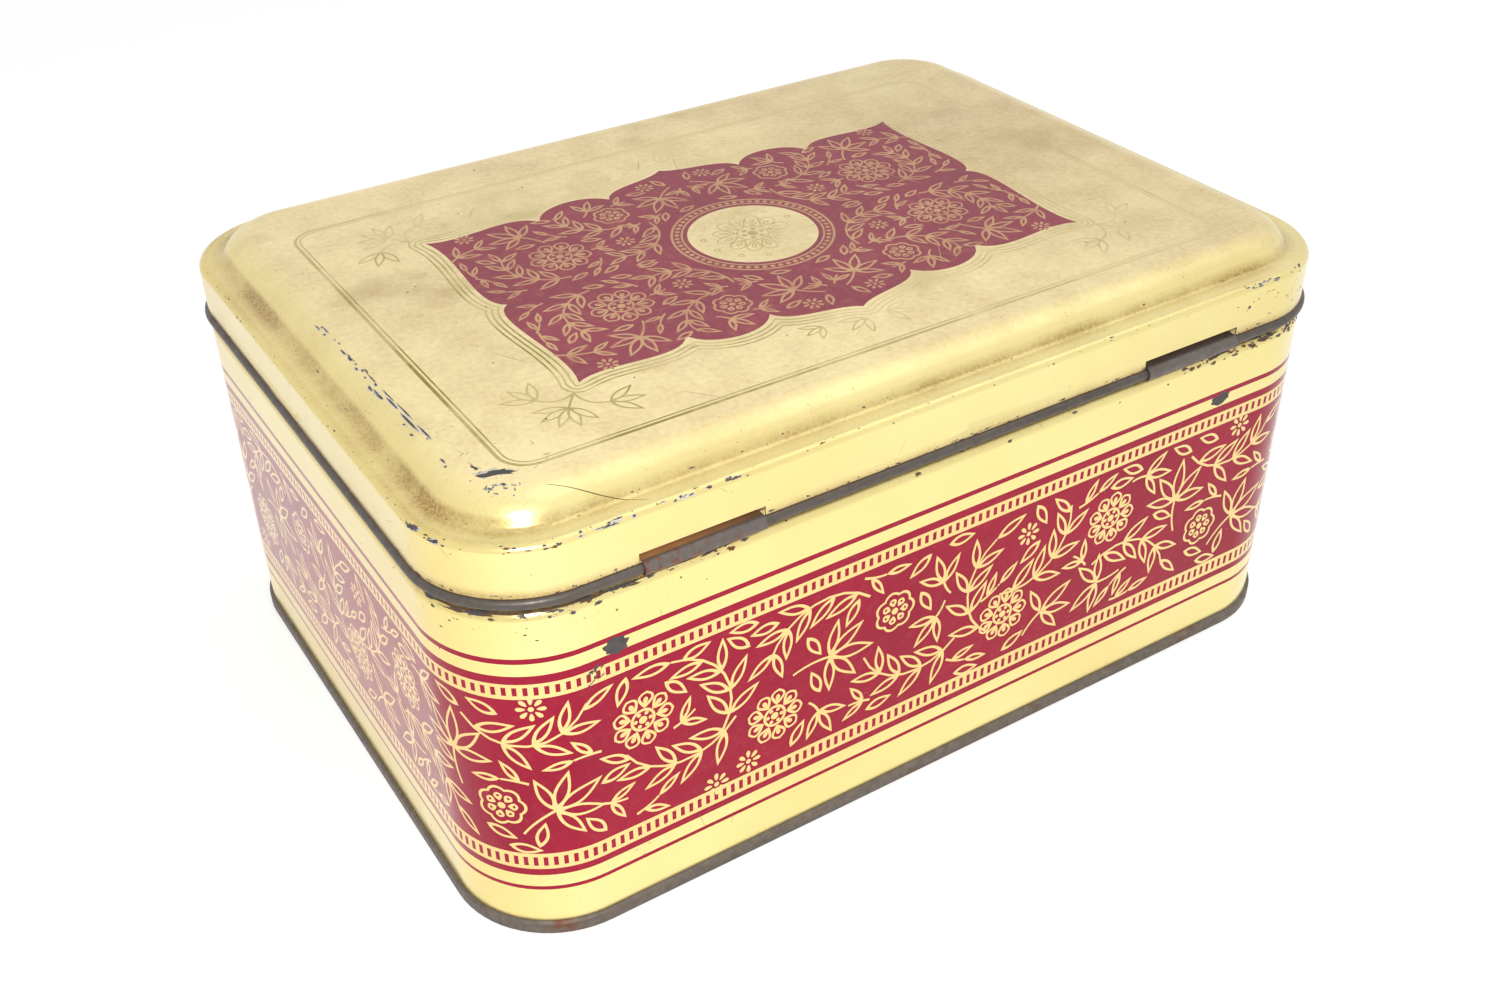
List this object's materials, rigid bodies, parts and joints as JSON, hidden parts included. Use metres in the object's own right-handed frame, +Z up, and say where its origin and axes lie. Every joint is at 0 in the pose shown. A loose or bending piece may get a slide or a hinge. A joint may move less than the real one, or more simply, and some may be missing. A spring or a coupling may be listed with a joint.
{
  "type": "hinged tin box",
  "caption": "Rectangular tinplate box with rounded corners, a drawn lid on strap hinges and a double-seamed bottom, for papers and keepsakes.",
  "frame": {"origin": "centre of the plane that the box rests on", "axes": "+Z up, X along the long side, the hinges on the +Y side"},
  "size_m": [0.2216, 0.1621, 0.1016],
  "materials": {
    "printed_tinplate": "gold lacquer with burgundy print",
    "bare_tinplate": "bare tinplate, dulled",
    "hinge_plate": "bare tinplate with rust"
  },
  "bodies": {
    "box": {"body_wall": "printed_tinplate", "bottom_plate": "bare_tinplate", "hinge_strap_left": "hinge_plate", "hinge_strap_right": "hinge_plate"},
    "lid": {"lid": "printed_tinplate"}
  },
  "joints": [
    {"name": "lid_hinge", "type": "hinge", "parent": "box", "child": "lid", "pos_m": [0, 0.0797, 0.0842], "axis": [-1, 0, 0], "range_deg": [0, 165]}
  ]
}
